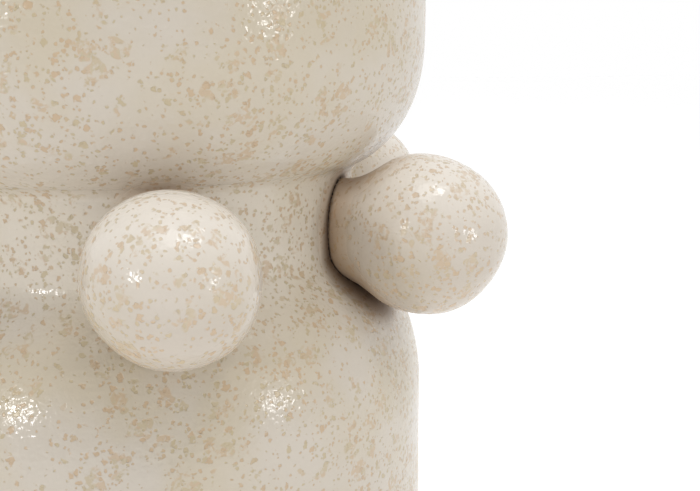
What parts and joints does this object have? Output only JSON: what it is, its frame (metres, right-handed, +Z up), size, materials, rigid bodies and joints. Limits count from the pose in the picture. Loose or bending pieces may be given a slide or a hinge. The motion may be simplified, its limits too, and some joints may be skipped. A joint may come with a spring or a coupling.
{
  "type": "stoneware vase",
  "caption": "Stacked drum-shaped stoneware bodies joined by a narrow waist, with a ring of glazed balls round the waist; open at the top for water and stems.",
  "frame": {"origin": "centre of the foot ring, on the plane that the vase stands on", "axes": "+Z up along the axis of the vase, -Y towards the front ball; the front ball is turned 4 degrees from -Y towards +X"},
  "size_m": [0.2289, 0.2521, 0.3001],
  "materials": {
    "cream_glaze": "glossy cream glaze with tan speckles and shallow dimples",
    "ball_glaze": "glossy cream glaze with tan speckles, a little lighter than the bodies",
    "bare_slip": "slip fillets under a thin, brown-tinged glaze"
  },
  "bodies": {
    "root": {"lower_body": "cream_glaze", "slip_seam_lower": "cream_glaze", "waist_collar": "cream_glaze", "slip_seam_upper": "cream_glaze", "upper_body": "cream_glaze", "ball_1": "ball_glaze", "ball_2": "ball_glaze", "ball_3": "ball_glaze", "ball_4": "ball_glaze", "ball_5": "ball_glaze", "ball_6": "ball_glaze", "slip_fillet_1": "bare_slip", "slip_fillet_2": "bare_slip", "slip_fillet_3": "bare_slip", "slip_fillet_4": "bare_slip", "slip_fillet_5": "bare_slip", "slip_fillet_6": "bare_slip"}
  },
  "joints": []
}
